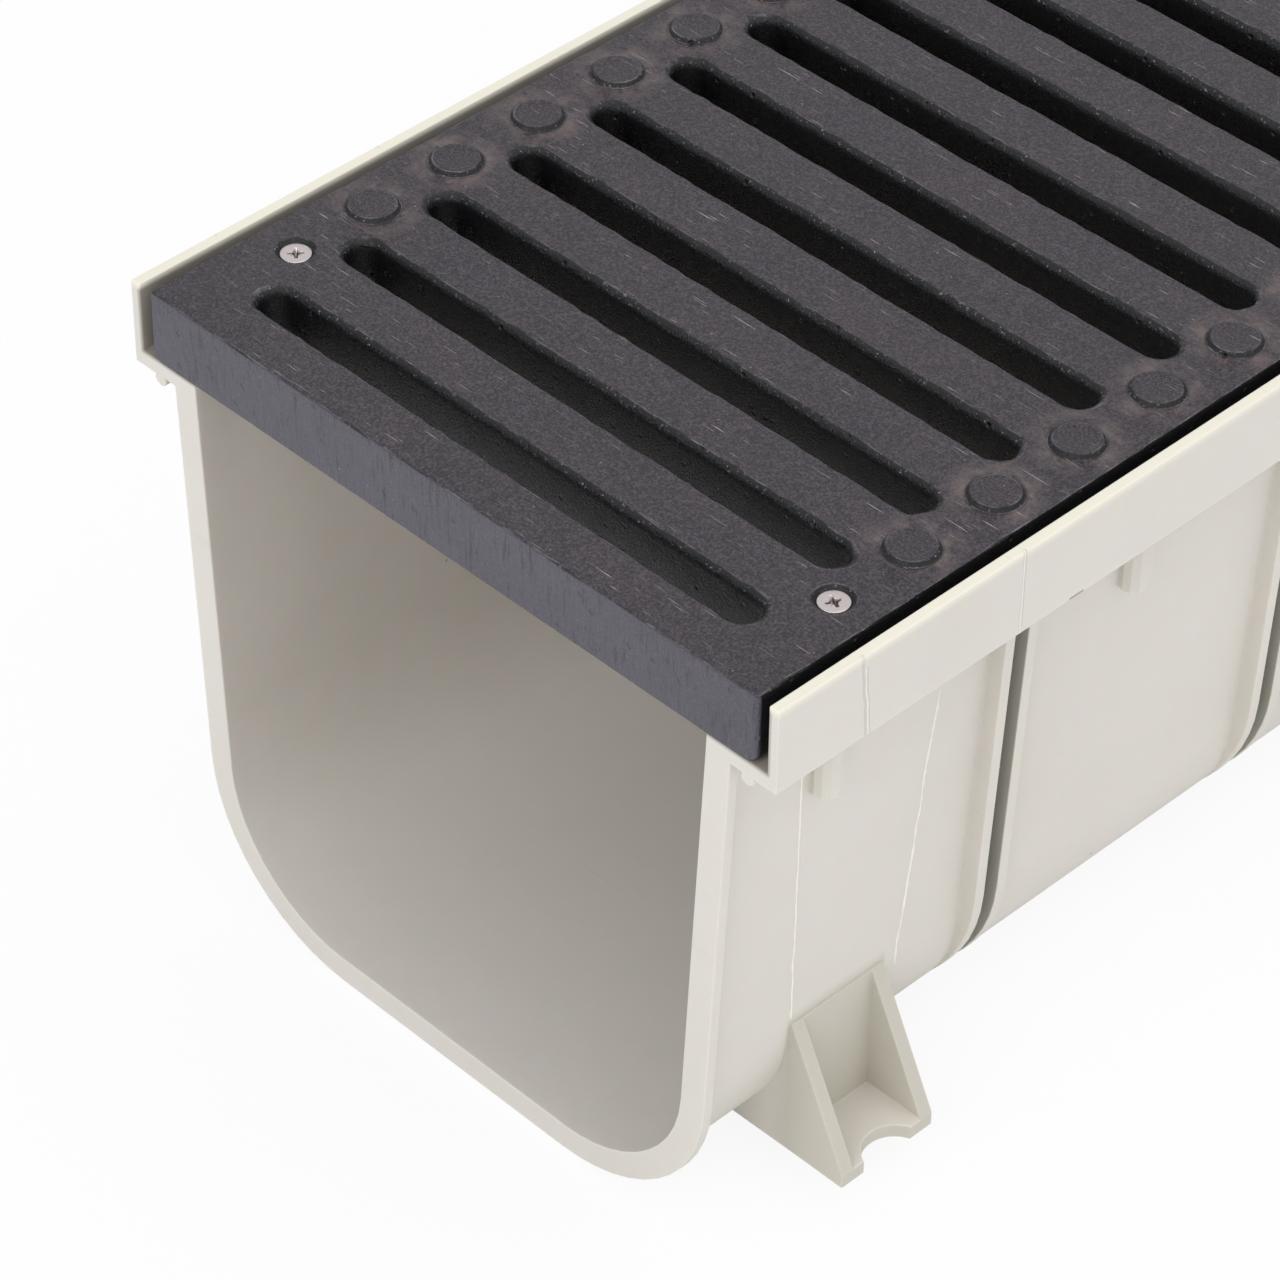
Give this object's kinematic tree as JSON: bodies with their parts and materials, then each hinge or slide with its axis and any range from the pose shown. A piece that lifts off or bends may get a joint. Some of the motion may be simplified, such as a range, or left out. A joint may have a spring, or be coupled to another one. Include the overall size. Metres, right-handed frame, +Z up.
{
  "type": "channel drain",
  "caption": "Straight moulded trench drain channel with a U-shaped trough, ribbed sides and anchor feet, topped with slotted cast grates held by countersunk screws.",
  "frame": {"origin": "on the ground, under the middle of the channel (the centre of its bounding box's bottom face)", "axes": "+Y along the drain, with the near end of the view at -Y; +Z up, towards the grates; +X across the drain, to the right when looking along +Y"},
  "size_m": [0.2126, 1, 0.1832],
  "materials": {
    "channel": "matt light beige-grey moulding",
    "grate": "semi-gloss black paint over a cast surface",
    "screw": "plain stainless steel"
  },
  "bodies": {
    "root": {"channel": "channel", "grate_front": "grate", "grate_rear": "grate", "screw_front_outer_left": "screw", "screw_front_outer_right": "screw", "screw_front_inner_left": "screw", "screw_front_inner_right": "screw", "screw_rear_outer_left": "screw", "screw_rear_outer_right": "screw", "screw_rear_inner_left": "screw", "screw_rear_inner_right": "screw"}
  },
  "joints": []
}
